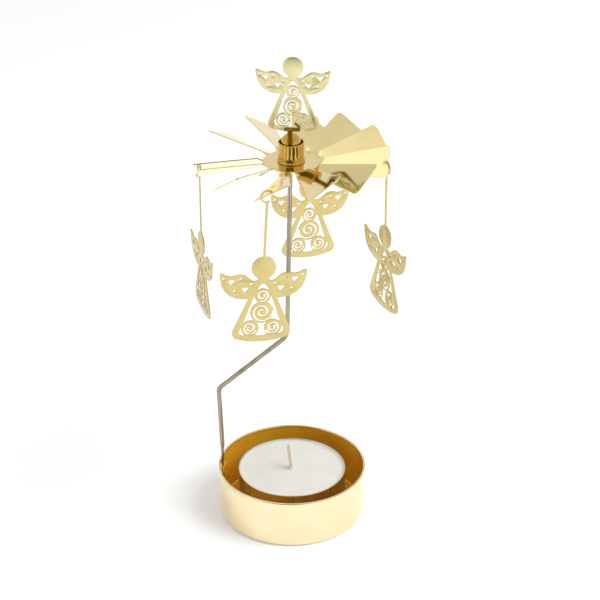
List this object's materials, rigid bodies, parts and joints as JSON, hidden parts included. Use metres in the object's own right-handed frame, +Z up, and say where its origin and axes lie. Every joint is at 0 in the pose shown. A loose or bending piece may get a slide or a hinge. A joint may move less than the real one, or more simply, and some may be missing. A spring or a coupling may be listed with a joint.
{
  "type": "candle carousel",
  "caption": "Polished brass candle carousel: a tealight cup, a bent wire mast and a bladed fan that carries hanging angels.",
  "frame": {"origin": "centre of the candle cup's underside", "axes": "+Z up along the cup's and the fan's common axis, -X towards the mast's foot, -Y towards the top figure's face"},
  "size_m": [0.0761, 0.0743, 0.1726],
  "materials": {
    "cup_brass": "polished",
    "sheet_brass": "polished",
    "hub_brass": "polished",
    "stand_brass": "polished, dark",
    "mast_steel": "drawn wire",
    "candle_aluminium": "bright",
    "wax": "paraffin wax, semi-translucent",
    "wick_cotton": "braided cotton",
    "foot_steel": "tinned"
  },
  "bodies": {
    "base": {"candle_cup": "cup_brass"},
    "mast": {"mast_rod": "mast_steel"},
    "candle": {"tealight_shell": "candle_aluminium", "tealight_wax": "wax", "wick": "wick_cotton", "wick_foot": "foot_steel"},
    "rotor": {"fan_plate": "sheet_brass", "hub_thimble": "hub_brass", "hub_sleeve": "hub_brass", "top_stand": "stand_brass", "top_angel": "sheet_brass"},
    "angel_right": {"hanging_angel_right": "sheet_brass"},
    "angel_back": {"hanging_angel_back": "sheet_brass"},
    "angel_left": {"hanging_angel_left": "sheet_brass"},
    "angel_front": {"hanging_angel_front": "sheet_brass"}
  },
  "joints": [
    {"name": "mast_slide", "type": "slide", "parent": "base", "child": "mast", "axis": [0, 0, 1], "range_m": [0, 0.02]},
    {"name": "candle_lift", "type": "slide", "parent": "base", "child": "candle", "axis": [0, 0, 1], "range_m": [0, 0.02]},
    {"name": "fan_spin", "type": "hinge", "parent": "mast", "child": "rotor", "pos_m": [0, 0, 0.1445], "axis": [0, 0, 1], "continuous": true},
    {"name": "angel_right_swing", "type": "hinge", "parent": "rotor", "child": "angel_right", "pos_m": [0.0316, -0.00351, 0.1358], "axis": [-0.848, -0.5299, 0], "range_deg": [-30, 30]},
    {"name": "angel_back_swing", "type": "hinge", "parent": "rotor", "child": "angel_back", "pos_m": [0.0042, 0.03176, 0.13617], "axis": [0.3907, -0.9205, 0], "range_deg": [-30, 30]},
    {"name": "angel_left_swing", "type": "hinge", "parent": "rotor", "child": "angel_left", "pos_m": [-0.03101, 0.0033, 0.12884], "axis": [0.9205, 0.3907, 0], "range_deg": [-30, 30]},
    {"name": "angel_front_swing", "type": "hinge", "parent": "rotor", "child": "angel_front", "pos_m": [-0.00422, -0.03171, 0.13678], "axis": [-0.3907, 0.9205, 0], "range_deg": [-30, 30]}
  ]
}
